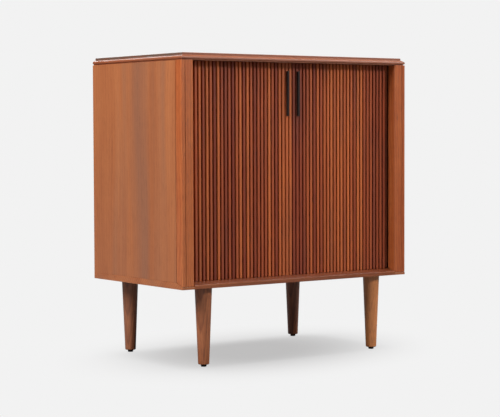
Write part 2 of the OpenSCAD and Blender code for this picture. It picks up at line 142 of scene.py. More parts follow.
# Where in the log each board was sawn, in metres across, through and along the wood's lines
LOGS = {"top": (0.02, 0.4, 0.3), "bottom": (0.6, 0.2, 1.7), "side": (0.71, -1.76, 0.22),
        "post": (-1.94, 1.73, -1.66), "shelf": (0.9, 0.3, 0.2), "liner": (0.5, 0.7, 1.1),
        "stile": (1.3, 0.4, 0.7), "handle": (1, 0, 0)}

# Each door's slats: the draw from which they take their shades and their strips of wood, how much paler
# they are in all, and how far a strip may lie from its neighbour's in the log. The right door's extra
# paleness is painted light, stronger towards the right, and its draw makes its first slat in the bend,
# beside the right post, dark as painted shade.
SLAT_SEED, SLAT_TONE_AND_LIGHT = {LEFT: 29992, RIGHT: 30917}, {LEFT: 0.02, RIGHT: 0.13}
SLAT_STRAY = np.array([40, 40, 140]) * MM

# Shares of their width that a curtain's two stretches keep when its door is open
CURTAIN_KEEP, POCKET_KEEP = 0.0012, 0.94

# The track of the tongues: along the front, round a quarter bend and back along the side
slat_w = SLAT_PITCH - SLAT_GAP
slat_face = SLAT_T - TONGUE_T / 2
back_face = TONGUE_T / 2
run_y = front_y + post_high.y - post_low.y + DOOR_GAP + slat_face
run_x = side_low.x - POCKET_GAP - slat_face
bend_x = run_x - BEND_R
bend_l = BEND_R * math.pi / 2
slat_count = math.ceil(bend_x / SLAT_PITCH) + TAIL_SLATS
lead_w = LEAD_RIBS * SLAT_PITCH - SLAT_GAP / 2
curtain_start = lead_w + LEAD_GAP
tail_end = slat_count * SLAT_PITCH - SLAT_GAP / 2
# Slats from this one on lie in the bend and in the pocket
first_bent = math.ceil(bend_x / SLAT_PITCH - 0.5)


# ----------------------------
# Shapes
# ----------------------------

# The order of a point's coordinates that puts the named axis last
AXIS_LAST = {"z": (0, 1, 2), "x": (1, 2, 0), "y": (0, 2, 1)}


def rounded(corners, radii, steps=3):
    """A closed outline with each corner replaced by an arc of its own radius.

    corners[..., n, 2] go round the outline. At a corner the path turns by an angle t from one side's
    direction to the next. The arc starts radius * tan(t / 2) before the corner, and its centre lies a
    radius to the inner side of that start. Point k of the arc is its start turned about the centre by
    k / steps of t.
    """
    corners = np.asarray(corners, float)
    radii = np.broadcast_to(np.asarray(radii, float), corners.shape[:-1])[..., None]
    before = corners - np.roll(corners, 1, axis=-2)
    before /= np.linalg.norm(before, axis=-1, keepdims=True)
    after = np.roll(before, -1, axis=-2)
    cross = before[..., :1] * after[..., 1:] - before[..., 1:] * after[..., :1]
    turn = np.arctan2(cross, (before * after).sum(-1, keepdims=True))
    start = corners - before * radii * np.tan(np.abs(turn) / 2)
    normal = np.stack([-before[..., 1], before[..., 0]], -1) * np.sign(turn)
    centre = start + normal * radii
    angle = turn[..., None, :] * np.linspace(0, 1, steps + 1)[:, None]
    arm = (start - centre)[..., None, :]
    turned = np.stack([
        arm[..., 0] * np.cos(angle[..., 0]) - arm[..., 1] * np.sin(angle[..., 0]),
        arm[..., 0] * np.sin(angle[..., 0]) + arm[..., 1] * np.cos(angle[..., 0]),
    ], -1)
    points = centre[..., None, :] + turned
    return points.reshape(*corners.shape[:-2], -1, 2)


def drawn_in(outline, by):
    """A counter-clockwise outline moved inwards. Each point goes along the sum n of its two sides' inner
    normals, scaled by 2 / (n . n), so that both sides move by the same distance."""
    side = np.roll(outline, -1, axis=-2) - outline
    side /= np.linalg.norm(side, axis=-1, keepdims=True)
    inner = np.stack([-side[..., 1], side[..., 0]], -1)
    both = inner + np.roll(inner, 1, axis=-2)
    both *= 2 / (both * both).sum(-1, keepdims=True)
    return outline + both * by


def eased_ends(low, high, radius, steps=3):
    """Levels of a board from low to high: [height, how far its outline is drawn in]. Both ends are
    quarter circles: drawn in by radius (1 - sin a) at a height of radius (1 - cos a) from the end."""
    a = np.linspace(0, math.pi / 2, steps + 1)
    rise, inset = radius * (1 - np.cos(a)), radius * (1 - np.sin(a))
    return np.concatenate([np.stack([low + rise, inset], -1), np.stack([high - rise, inset], -1)[::-1]])


def board(outline, low, high, radius=EASE, along="z"):
    """Rings of a board: an outline carried from low to high along an axis, with eased ends. The outline
    is in (x, y) for z, in (y, z) for x and in (x, z) for y."""
    levels = eased_ends(low, high, radius)
    flat = np.stack([drawn_in(outline, inset) for inset in levels[:, 1]])
    height = np.broadcast_to(levels[:, :1], flat.shape[:2])
    return np.stack([flat[..., 0], flat[..., 1], height], -1)[..., np.argsort(AXIS_LAST[along])]


def rectangle(x0, y0, x1, y1):
    """The corners of an upright rectangle, counter-clockwise."""
    return np.array([(x0, y0), (x1, y0), (x1, y1), (x0, y1)])


def block(low, high, radius=EASE, along="z"):
    """Rings of a box with all its edges eased, from its lowest to its highest corner."""
    u, v, w = AXIS_LAST[along]
    return board(rounded(rectangle(low[u], low[v], high[u], high[v]), radius), low[w], high[w], radius, along)


def box(low, high):
    """Rings of a box with sharp edges, for cutting."""
    flat = rectangle(low[0], low[1], high[0], high[1])
    return np.stack([np.column_stack([flat, np.full(4, z)]) for z in (low[2], high[2])])


def turned(profile, centre=(0, 0), sides=48):
    """Rings of a turned piece: each profile point (radius, z) is a circle about a vertical axis."""
    profile = np.asarray(profile, float)
    angle = np.linspace(0, 2 * math.pi, sides, endpoint=False)
    radius, z = profile[:, :1], np.broadcast_to(profile[:, 1:], (len(profile), sides))
    return np.stack([centre[0] + radius * np.cos(angle), centre[1] + radius * np.sin(angle), z], -1)


def mirrored(rings, side):
    """Right-hand rings, or their mirror image in X on the left."""
    return rings * np.array([side, 1, 1])


def on_track(s, u, v):
    """Points at a distance s along the right-hand track, u further along it and v to its inner side.
    The track is straight for bend_x, then a quarter circle of BEND_R, then straight back: with
    a = (s - bend_x) / BEND_R held between 0 and 90 degrees, x = min(s, bend_x) + BEND_R sin a and
    y = run_y + BEND_R (1 - cos a) + what is left of s. The pair (u, v) is turned by a."""
    a = np.clip((s - bend_x) / BEND_R, 0, math.pi / 2)
    x = np.minimum(s, bend_x) + BEND_R * np.sin(a)
    y = run_y + BEND_R * (1 - np.cos(a)) + np.maximum(s - bend_x - bend_l, 0)
    return x + u * np.cos(a) - v * np.sin(a), y + u * np.sin(a) + v * np.cos(a)


# ----------------------------
# Meshes
# ----------------------------

def mesh_of(name, rings):
    """A mesh whose skin passes through rings[..., r, n, 3]: four-sided faces join each ring to the next,
    and the first and last ring are closed with a flat face. Leading axes are separate solids."""
    rings = np.asarray(rings, float)
    solids = rings.reshape(-1, *rings.shape[-3:])
    index = np.arange(solids.size // 3).reshape(solids.shape[:3])
    ahead = np.roll(index, -1, axis=2)
    quads = np.stack([index[:, :-1], ahead[:, :-1], ahead[:, 1:], index[:, 1:]], -1).reshape(-1, 4)
    faces = quads.tolist() + index[:, 0, ::-1].tolist() + index[:, -1].tolist()
    mesh = bpy.data.meshes.new(name)
    mesh.from_pydata(solids.reshape(-1, 3).tolist(), [], faces)
    work = bmesh.new()
    work.from_mesh(mesh)
    bmesh.ops.recalc_face_normals(work, faces=work.faces)
    work.to_mesh(mesh)
    work.free()
    return mesh


def new_object(name, data):
    """A mesh, a light or a camera, put into the scene."""
    made = bpy.data.objects.new(name, data)
    bpy.context.scene.collection.objects.link(made)
    return made


def carve(piece, *cutters):
    """Cuts each cutter's solids out of a piece, one cutter at a time."""
    for rings in cutters:
        tool = new_object("tool", mesh_of("tool", rings))
        cut = piece.modifiers.new("cut", "BOOLEAN")
        cut.operation, cut.solver, cut.object = "DIFFERENCE", "EXACT", tool
        bpy.context.view_layer.update()
        shaped = bpy.data.meshes.new_from_object(piece.evaluated_get(bpy.context.evaluated_depsgraph_get()))
        piece.modifiers.clear()
        piece.data = shaped
        bpy.data.objects.remove(tool)
    return piece


def join(piece, mesh):
    """Adds another mesh's solids to a piece."""
    work = bmesh.new()
    work.from_mesh(piece.data)
    work.from_mesh(mesh)
    work.to_mesh(piece.data)
    work.free()
    bpy.data.meshes.remove(mesh)


def write_attribute(mesh, name, kind, values):
    """Stores one value or one vector for each of a mesh's points."""
    made = mesh.attributes.new(name, kind, "POINT")
    field = "vector" if kind == "FLOAT_VECTOR" else "value"
    made.data.foreach_set(field, np.asarray(values, np.float32).ravel())


def positions(mesh, what="co"):
    """The places of a mesh's points, or their normals."""
    places = np.empty(len(mesh.vertices) * 3, np.float32)
    mesh.vertices.foreach_get(what, places)
    return places.reshape(-1, 3)


SHARP_ANGLE = math.radians(40)


def dress(piece, finish, body="cabinet", stands_for=(), grain="z", log=(0, 0, 0), places=None, tone=0.5):
    """Gives a piece its finish, its place on the frame and its wood: "grain" is each point's place in
    the log that the board was sawn from, with the log's length last, and "tone" is the board's shade."""
    mesh = piece.data
    if places is None:
        places = positions(mesh)[:, AXIS_LAST[grain]] + np.array(log)
    write_attribute(mesh, "grain", "FLOAT_VECTOR", places)
    write_attribute(mesh, "tone", "FLOAT", np.broadcast_to(tone, len(mesh.vertices)))
    mesh.materials.clear()
    mesh.materials.append(FINISHES[finish])
    mesh.shade_smooth()
    mesh.set_sharp_from_angle(angle=SHARP_ANGLE)
    even = piece.modifiers.new("even_normals", "WEIGHTED_NORMAL")
    even.keep_sharp = True
    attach(piece, body)
    for node in stands_for:
        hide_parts(node)
    return piece


def solid(name, rings, finish, **how):
    """A finished piece from its rings alone."""
    return dress(new_object(name, mesh_of(name, rings)), finish, **how)


# ----------------------------
# Materials
# ----------------------------

# The colour sockets of a Mix node
MIX_A, MIX_B, MIX_RESULT = 6, 7, 2


def linear(colour):
    """An sRGB hex colour as linear red, green, blue and alpha."""
    share = np.array([int(colour[i:i + 2], 16) for i in (1, 3, 5)]) / 255
    return (*np.where(share <= 0.04045, share / 12.92, ((share + 0.055) / 1.055) ** 2.4), 1.0)


def add(tree, kind, inputs=None, stops=None, **settings):
    """Adds a node with its settings, its ramp's stops, and a value or a link for each input given."""
    node = tree.nodes.new("ShaderNode" + kind)
    for name, value in settings.items():
        setattr(node, name, value)
    for place, (at, colour) in enumerate(stops or ()):
        stop = node.color_ramp.elements[place] if place < 2 else node.color_ramp.elements.new(at)
        stop.position, stop.color = at, linear(colour)
    for name, value in (inputs or {}).items():
        if isinstance(value, bpy.types.NodeSocket):
            tree.links.new(value, node.inputs[name])
        else:
            node.inputs[name].default_value = value
    return node


def new_material(name):
    """An empty material and its node tree."""
    material = bpy.data.materials.new(name)
    material.use_nodes = True
    material.node_tree.nodes.clear()
    return material, material.node_tree


def surfaced(material, inputs, height=None, strength=0.2, depth=0.1 * MM):
    """Ends a material with one shader and, where a height is given, a relief of that depth."""
    tree = material.node_tree
    if height is not None:
        inputs["Normal"] = add(tree, "Bump", {"Strength": strength, "Distance": depth,
                                              "Height": height}).outputs[0]
    shader = add(tree, "BsdfPrincipled", inputs)
    add(tree, "OutputMaterial", {"Surface": shader.outputs[0]})
    return material


def maths(tree, operation, *values):
    """A sum on numbers or sockets. MULTIPLY_ADD is the first times the second, plus the third."""
    return add(tree, "Math", dict(enumerate(values)), operation=operation).outputs[0]


def speckle(tree, places, across, through, along, detail=2.0, roughness=0.5):
    """Soft noise between 0 and 1 whose spots measure across, through and along, in metres."""
    sized = add(tree, "VectorMath", {0: places, 1: (1 / across, 1 / through, 1 / along)},
                operation="MULTIPLY")
    return add(tree, "TexNoise", {"Vector": sized.outputs[0], "Scale": 1.0, "Detail": detail,
                                  "Roughness": roughness}).outputs[0]


MOTTLE_DEPTH = 0.16


def walnut(name, shades, pith=(0.05, 0.16), tilt=(0.0, 0.0), ring=6 * MM, ring_depth=0.3, band_depth=0.9,
           streak_depth=0.5, tone_depth=0.0, grey=0.25, smoke="#7E5A48", cloud=(60 * MM, 60 * MM, 1.6),
           pore_depth=0.35, gloss=0.38):
    """American black walnut, planed, sanded and finished with satin lacquer.

    The growth rings are circles about the pith, an axis that lies at pith beside the board and leans by
    tilt along it, so a board sawn near it shows arches and one sawn far from it straight lines. Over
    them lie bands of heartwood colour about 45 mm wide, streaks of 3 mm, and pores: dark dashes that are
    0.2 mm wide in the wood and are drawn 0.9 mm wide, as fine as the picture can show. Here and there lie
    smoky clouds, of the size that cloud gives and of the share that grey gives of the colour smoke.
    shades are the sRGB colours from the darkest to the palest wood, and each depth is how far its
    pattern moves the wood along them.
    """
    material, tree = new_material(name)
    grain = add(tree, "Attribute", attribute_name="grain").outputs["Vector"]
    tone = add(tree, "Attribute", attribute_name="tone").outputs["Fac"]

    # The wood's lines wander by up to 30 mm, over lengths of 110 mm across and 450 mm along them.
    rate, reach = (9.0, 9.0, 2.2), (0.03, 0.03, 0.0)
    slow = add(tree, "VectorMath", {0: grain, 1: rate}, operation="MULTIPLY").outputs[0]
    drift = add(tree, "TexNoise", {"Vector": slow, "Scale": 1.0, "Detail": 1.0}).outputs[1]
    wander = add(tree, "VectorMath", {0: drift, 1: reach, 2: grain}, operation="MULTIPLY_ADD").outputs[0]
    parts = add(tree, "SeparateXYZ", {0: wander})
    lean = [maths(tree, "MULTIPLY_ADD", parts.outputs[2], -tilt[k], pith[k]) for k in range(2)]
    across = [maths(tree, "ADD", parts.outputs[k], lean[k]) for k in range(2)]
    flat = add(tree, "CombineXYZ", {0: across[0], 1: across[1], 2: 0.0}).outputs[0]
    from_pith = add(tree, "VectorMath", {0: flat}, operation="LENGTH").outputs["Value"]
    year = maths(tree, "FRACT", maths(tree, "MULTIPLY", from_pith, 1 / ring))
    # Pale early wood darkens slowly over a year's growth and ends in a thin dark line.
    late = add(tree, "ValToRGB", {0: year}, stops=[
        (0.0, "#FFFFFF"), (0.62, "#B8B8B8"), (0.86, "#303030"), (1.0, "#FFFFFF")]).outputs[0]

    bands = speckle(tree, wander, 45 * MM, 45 * MM, 0.9, detail=3.0, roughness=0.55)
    streaks = speckle(tree, grain, 3 * MM, 3 * MM, 0.16, detail=3.0, roughness=0.6)
    mottle = speckle(tree, grain, 26 * MM, 26 * MM, 34 * MM, detail=1.0)
    pores = speckle(tree, grain, 0.9 * MM, 0.9 * MM, 16 * MM, detail=1.0)
    clouds = speckle(tree, wander, *cloud, detail=2.0)

    shade = maths(tree, "MULTIPLY_ADD", bands, band_depth, 0.5 - band_depth / 2)
    for pattern, depth in ((streaks, streak_depth), (late, ring_depth), (mottle, MOTTLE_DEPTH),
                           (tone, tone_depth)):
        shade = maths(tree, "MULTIPLY_ADD", maths(tree, "ADD", pattern, -0.5), depth, shade)
    stops = list(zip(np.linspace(0.12, 0.88, len(shades)), shades))
    colour = add(tree, "ValToRGB", {0: shade}, stops=stops).outputs[0]

    greyish = add(tree, "MapRange", {"Value": clouds, "From Min": 0.5, "From Max": 0.68,
                                     "To Max": grey}).outputs[0]
    colour = add(tree, "Mix", {0: greyish, MIX_A: colour, MIX_B: linear(smoke)},
                 data_type="RGBA").outputs[MIX_RESULT]
    open_pore = add(tree, "MapRange", {"Value": pores, "From Min": 0.56, "From Max": 0.72}).outputs[0]
    dimmed = maths(tree, "MULTIPLY_ADD", open_pore, -pore_depth, 1.0)
    colour = add(tree, "VectorMath", {0: colour, "Scale": dimmed}, operation="SCALE").outputs[0]
    rough = maths(tree, "MULTIPLY_ADD", open_pore, 0.14, gloss)
    relief = maths(tree, "MULTIPLY_ADD", open_pore, -0.6, streaks)
    return surfaced(material, {"Base Color": colour, "Roughness": rough, "IOR": 1.5}, relief, 0.25, 0.12 * MM)


def plain_wood(name, dark, pale, gloss):
    """Sawn beech or the rotary-cut face of plywood: an even wood with short fine dashes along the grain."""
    material, tree = new_material(name)
    places = add(tree, "TexCoord").outputs["Object"]
    flow = speckle(tree, places, 30 * MM, 30 * MM, 0.3, detail=3.0)
    dashes = speckle(tree, places, 0.8 * MM, 0.8 * MM, 6 * MM, detail=2.0)
    shade = maths(tree, "MULTIPLY_ADD", dashes, 0.5, flow)
    colour = add(tree, "ValToRGB", {0: shade}, stops=[(0.45, dark), (1.0, pale)]).outputs[0]
    return surfaced(material, {"Base Color": colour, "Roughness": gloss, "IOR": 1.5}, dashes)


def cotton_canvas(name):
    """Plain-woven cotton duck, dyed dark brown and stiff with glue. Its threads lie 0.8 mm apart; they
    are waves along and up the cloth, over and under each other by turns."""
    material, tree = new_material(name)
    cloth = add(tree, "Attribute", attribute_name="grain").outputs["Vector"]
    thread = 0.8 * MM
    parts = add(tree, "SeparateXYZ", {0: cloth})
    warp, weft = [maths(tree, "SINE", maths(tree, "MULTIPLY", parts.outputs[k], math.pi / thread))
                  for k in (0, 2)]
    height = maths(tree, "MULTIPLY_ADD", maths(tree, "MULTIPLY", warp, weft), 0.5, 0.5)
    colour = add(tree, "ValToRGB", {0: height}, stops=[(0.0, "#2E170E"), (1.0, "#4C2819")]).outputs[0]
    return surfaced(material, {"Base Color": colour, "Roughness": 0.9, "Sheen Weight": 0.2,
                               "Sheen Roughness": 0.5}, height, 0.5, 0.2 * MM)


def ebonised(name):
    """Beech stained black and lacquered satin. The stain sinks into the open grain unevenly, so faint
    brown dashes run along it, and the rounded edges catch a soft light."""
    material, tree = new_material(name)
    grain = add(tree, "Attribute", attribute_name="grain").outputs["Vector"]
    dashes = speckle(tree, grain, 0.8 * MM, 0.8 * MM, 12 * MM, detail=2.0)
    colour = add(tree, "ValToRGB", {0: dashes}, stops=[(0.3, "#0C0604"), (0.8, "#1C100B")]).outputs[0]
    rough = maths(tree, "MULTIPLY_ADD", dashes, 0.2, 0.28)
    return surfaced(material, {"Base Color": colour, "Roughness": rough, "IOR": 1.5}, dashes)


def moulded_nylon(name):
    """Black nylon, moulded with a fine matt texture of about 0.5 mm."""
    material, tree = new_material(name)
    places = add(tree, "TexCoord").outputs["Object"]
    texture = speckle(tree, places, 0.5 * MM, 0.5 * MM, 0.5 * MM, detail=1.0)
    colour = add(tree, "ValToRGB", {0: texture}, stops=[(0.2, "#17110E"), (0.8, "#2A211C")]).outputs[0]
    return surfaced(material, {"Base Color": colour, "Roughness": 0.55, "IOR": 1.53}, texture, 0.3, 0.05 * MM)


def zinc_steel(name):
    """Zinc-plated steel: a bright grey metal, clouded where the plating is thicker."""
    material, tree = new_material(name)
    places = add(tree, "TexCoord").outputs["Object"]
    clouds = speckle(tree, places, 2 * MM, 2 * MM, 2 * MM)
    colour = add(tree, "ValToRGB", {0: clouds}, stops=[(0.3, "#A9A8A2"), (0.7, "#C9C8C4")]).outputs[0]
    rough = maths(tree, "MULTIPLY_ADD", clouds, 0.2, 0.25)
    return surfaced(material, {"Base Color": colour, "Metallic": 1.0, "Roughness": rough})


FINISHES = {
    # Flat-sawn veneer, so the top shows arches along its length.
    # Its darkest, greyest shade gives the painted shade at the ends of the step.
    "walnut_top": walnut("walnut_top", ["#5A463C", "#7A3E22", "#8C4826", "#A05C34"], pith=(0.0, 0.09),
                         tilt=(0.02, 0.05), ring=5 * MM, ring_depth=0.24, band_depth=0.35, tone_depth=0.9,
                         gloss=0.5),
    # Straight-grained veneer, the palest wood on the table, with soft upright bands.
    "walnut_side": walnut("walnut_side", ["#8A4C2C", "#9E5C36", "#AE6C42"], pith=(0.3, 0.12), ring=9 * MM,
                          ring_depth=0.16, streak_depth=0.3, band_depth=0.9, grey=0.5, pore_depth=0.2),
    # The bottom, whose front edge between the posts is a darker strip.
    "walnut_case": walnut("walnut_case", ["#602A14", "#7E3E1E", "#9A5630", "#AC683E"], ring_depth=0.2,
                          band_depth=0.5, tone_depth=0.6, gloss=0.28),
    # Solid wood with livelier stripes, a little redder than the veneer.
    "walnut_post": walnut("walnut_post", ["#7E3414", "#984820", "#AE5E30", "#C4743E"], pith=(0.02, 0.05),
                          ring=5 * MM, ring_depth=0.2, streak_depth=0.35, band_depth=0.6, tone_depth=0.9),
    # The slats are sorted from strips of a few boards, so neighbours differ from maroon brown to orange
    # brown, but dark clouds run on across them.
    "walnut_slat": walnut("walnut_slat", ["#722A16", "#8E3E1E", "#A44E26", "#B8602E"], pith=(0.0, 0.02),
                          ring=4 * MM, ring_depth=0.2, band_depth=0.4, streak_depth=0.35, tone_depth=0.82,
                          grey=0.32, smoke="#54302A", cloud=(80 * MM, 80 * MM, 0.26)),
    # Its palest shade gives the front right leg its painted light.
    "walnut_leg": walnut("walnut_leg", ["#6A3A26", "#8E5232", "#A6643E", "#C07A48"], pith=(0.03, 0.02),
                         tilt=(0.05, 0.0), ring=5 * MM, band_depth=0.6, tone_depth=0.8),
    "inner_wood": walnut("inner_wood", ["#6A4430", "#86583E", "#9C6C4C"], pith=(0.2, 0.1), ring_depth=0.2,
                         gloss=0.5),
    "plywood_back": plain_wood("plywood_back", "#8A6A4C", "#B08C66", 0.6),
    "beech": plain_wood("beech", "#B48F66", "#D8B68A", 0.55),
    "canvas": cotton_canvas("canvas"),
    "ebonised_wood": ebonised("ebonised_wood"),
    "glide_plastic": moulded_nylon("glide_plastic"),
    "steel": zinc_steel("steel"),
}


# ----------------------------
# Case
# ----------------------------

def track_cutter(z0, z1):
    """The groove of both doors' tongues, one square channel from the back of one side to the other."""
    half = TONGUE_T / 2 + GROOVE_GAP
    reach = bend_x + bend_l + back_low.y - (run_y + BEND_R) + EASE
    arc = np.linspace(0, bend_l, 13)
    s = np.concatenate([[0], bend_x + arc, [reach]])
    s = np.concatenate([-s[:0:-1], s])
    corners = [(-half, z0), (half, z0), (half, z1), (-half, z1)]
    rings = np.empty((len(s), 4, 3))
    for k, (v, z) in enumerate(corners):
        x, y = on_track(np.abs(s), 0, v)
        rings[:, k] = np.stack([x * np.where(s < 0, -1, 1), y, np.full_like(s, z)], -1)
    return rings


def housing_cutter(z0, z1):
    """The housings of the two inner sides."""
    one = box((liner_low.x, liner_low.y, z0), (liner_high.x, back_y + EASE, z1))
    return np.stack([mirrored(one, side) for side in (LEFT, RIGHT)])


def rebate_cutter(z0, z1):
    """The room for the back between the panels."""
    reach = side_low.x + REBATE_W + BACK_GAP
    return box((-reach, back_low.y, z0), (reach, back_y + EASE, z1))


def top_panel():
    """The top: rectangles stacked along a moulded profile. The profile gives, for each height, how far
    the front and the sides lie inside the widest band; the back stays straight but for its eased edges."""
    step_z = case_h - STEP_H
    band_z = step_z - BEVEL_H
    slope_z = band_z - BAND_H
    neck_z = slope_z - NECK_SLOPE_H
    flat_in = STEP_INSET + 6 * MM
    # A closed profile whose first and last corner lie inside the panel; only its outer corners are kept.
    steps = 5
    profile = rounded([(flat_in, ceiling_z), (NECK_INSET, ceiling_z), (NECK_INSET, neck_z), (0, slope_z),
                       (0, band_z), (STEP_INSET, step_z), (STEP_INSET, case_h), (flat_in, case_h)],
                      TOP_PROFILE_R, steps)[steps + 1:-steps - 1]
    inset, z = profile.T
    near_edge = np.clip(1 - np.minimum(z - ceiling_z, case_h - z) / EASE, 0, 1)
    back_in = EASE * (1 - np.sqrt(1 - near_edge ** 2))
    x0, y0, x1, y1 = inset - half_w, front_y + inset, half_w - inset, back_y - back_in
    corners = np.moveaxis(rectangle(x0, y0, x1, y1), -1, 0)
    flat = rounded(corners, TOP_OUTLINE_R)
    rings = np.concatenate([flat, np.broadcast_to(z[:, None, None], (*flat.shape[:2], 1))], -1)
    piece = carve(new_object("tabletop", mesh_of("tabletop", rings)),
                  track_cutter(ceiling_z - EASE, ceiling_z + GROOVE_H),
                  housing_cutter(ceiling_z - EASE, ceiling_z + HOUSING_H),
                  rebate_cutter(ceiling_z - EASE, ceiling_z + REBATE_W + BACK_GAP))
    # At the two ends the step is painted darker and greyer: painted shade with a painted dull reflection,
    # drawn from the walnut's darkest, greyest shade.
    z = positions(piece.data)[:, 2]
    normal = np.abs(positions(piece.data, "normal"))
    painted_step_shade = (normal[:, 0] > normal[:, 1]) & (z > step_z - EASE) & (z < case_h - EASE / 9)
    dress(piece, "walnut_top", stands_for=["top_panel"], grain="x", log=LOGS["top"],
          tone=np.where(painted_step_shade, STEP_PAINTED_SHADE_TONE, 0.5))


def bottom_panel():
    """The bottom: an outline in (y, z) carried along X. Between the posts its front edge slopes up as
    the sill, and under each post it slopes further down for the post's foot."""
    post_in = post_low.x
    step = 0.15 * MM

    def section(front_z, slope_end):
        return rounded([(front_y, leg_h), (back_y, leg_h), (back_y, floor_z), (slope_end, floor_z),
                        (front_y, front_z)], BOTTOM_R)

    under_post = section(post_low.z, post_high.y)
    sill = section(floor_z - SILL_BEVEL_H, front_y + SILL_BEVEL_D)
    levels = eased_ends(-half_w, half_w, EASE)
    half = len(levels) // 2
    ends = [(x, drawn_in(under_post, inset)) for x, inset in levels]
    stations = ends[:half] + [(-post_in - step, under_post), (-post_in, sill), (post_in, sill),
                              (post_in + step, under_post)] + ends[half:]
    rings = np.stack([np.concatenate([np.full((len(flat), 1), x), flat], -1) for x, flat in stations])
    tenons = np.stack([turned([(TENON_R, leg_h - EASE), (TENON_R, leg_h + TENON_H)], centre)
                       for centre in leg_centres()])
    piece = carve(new_object("case_bottom", mesh_of("case_bottom", rings)),
                  track_cutter(floor_z - GROOVE_H, floor_z + EASE),
                  housing_cutter(floor_z - HOUSING_H, floor_z + EASE),
                  rebate_cutter(floor_z - REBATE_W - BACK_GAP, floor_z + EASE), tenons)
    # The ends are palest. Every upward face, the sill's slope and the case's floor, is darkest as painted
    # shade under the top; the sill's front and the underside lie between.
    under_posts = np.abs(positions(piece.data)[:, 0]) > post_in + step / 2
    painted_shade_up = positions(piece.data, "normal")[:, 2] > 0.5
    dress(piece, "walnut_case", stands_for=["bottom_panel"], grain="x", log=LOGS["bottom"],
          tone=np.where(under_posts, BOTTOM_END_TONE, np.where(painted_shade_up, BOTTOM_UP_SHADE_TONE, SILL_TONE)))


def side_panel(name, side):
    """A side: an upright board with a rebate at its inner back edge, and a quirk, a fine square step,
    along its outer front edge, which leaves a dark line beside the post."""
    rebate_x = side_low.x + REBATE_W + BACK_GAP
    front = side_low.y
    corners = [(side_low.x, front), (half_w - QUIRK_D, front), (half_w - QUIRK_D, front + QUIRK_W),
               (half_w, front + QUIRK_W), (half_w, back_y), (rebate_x, back_y), (rebate_x, back_low.y),
               (side_low.x, back_low.y)]
    outline = rounded(corners, SIDE_R)
    solid(f"{name}_side", mirrored(board(outline, floor_z, ceiling_z, 0.4 * MM), side), "walnut_side",
          stands_for=[f"{name}_side_panel"], log=LOGS["side"])


def front_post(name, side):
    """A post: rounded front edges, a fine groove along its glue line, and a foot that slopes down to the
    front and stands on a quirk. Heights near the foot are measured from that slope."""
    seam_x = half_w - SEAM_IN
    corners = [(post_low.x, front_y), (seam_x - SEAM_W / 2, front_y), (seam_x - SEAM_W / 2, front_y + SEAM_D),
               (seam_x + SEAM_W / 2, front_y + SEAM_D), (seam_x + SEAM_W / 2, front_y), (half_w, front_y),
               (half_w, post_high.y), (post_low.x, post_high.y)]
    body = board(rounded(corners, POST_R, 6), QUIRK_W, ceiling_z, 0.3 * MM)
    foot = rounded(rectangle(post_low.x + FOOT_IN, front_y + FOOT_IN, half_w - FOOT_IN,
                             post_high.y - FOOT_IN), FOOT_IN)
    slope = (floor_z - post_low.z) / (post_high.y - front_y)

    def on_slope(rings):
        foot_z = floor_z - slope * (post_high.y - rings[..., 1])
        rings[..., 2] = np.where(rings[..., 2] < ceiling_z / 2, foot_z + rings[..., 2], rings[..., 2])
        return mirrored(rings, side)

    piece = new_object(f"{name}_post", mesh_of(f"{name}_post", on_slope(body)))
    join(piece, mesh_of("foot", on_slope(board(foot, 0, 2 * QUIRK_W, 0.05 * MM))))
    dress(piece, "walnut_post", stands_for=[f"{name}_front_post"], log=LOGS["post"],
          tone=POST_TONE[side])


def back_and_interior():
    """The plywood back, and the inner sides, shelf and door stops, which show when the doors are open."""
    solid("back", block(back_low, back_high, 0.3 * MM, "y"), "plywood_back", stands_for=["back_panel"])
    solid("shelf_board", block(shelf_low, shelf_high, 1 * MM, "x"), "inner_wood", stands_for=["shelf"],
          grain="x", log=LOGS["shelf"])
    for name, side in SIDES.items():
        rows = shelf_low.z - PIN_R + (np.arange(PIN_ROWS) - (PIN_ROWS - 1) / 2) * PIN_STEP
        depths = (shelf_low.y + PIN_SET, shelf_high.y - PIN_SET)
        holes = turned([(PIN_R, -EASE), (PIN_R, PIN_HOLE_H)], sides=24)[..., [2, 1, 0]]
        holes = np.stack([holes + (liner_low.x, y, z) for y in depths for z in rows])
        label = f"{name}_inner_side"
        piece = new_object(label, mesh_of(label, mirrored(block(liner_low, liner_high, 0.8 * MM), side)))
        dress(carve(piece, mirrored(holes, side)), "inner_wood", stands_for=[f"{name}_liner"],
              log=mirrored(LOGS["liner"], side))
        solid(f"{name}_stop", mirrored(block(stop_low, stop_high, 0.8 * MM), side), "beech",
              stands_for=[f"{name}_door_stop"])


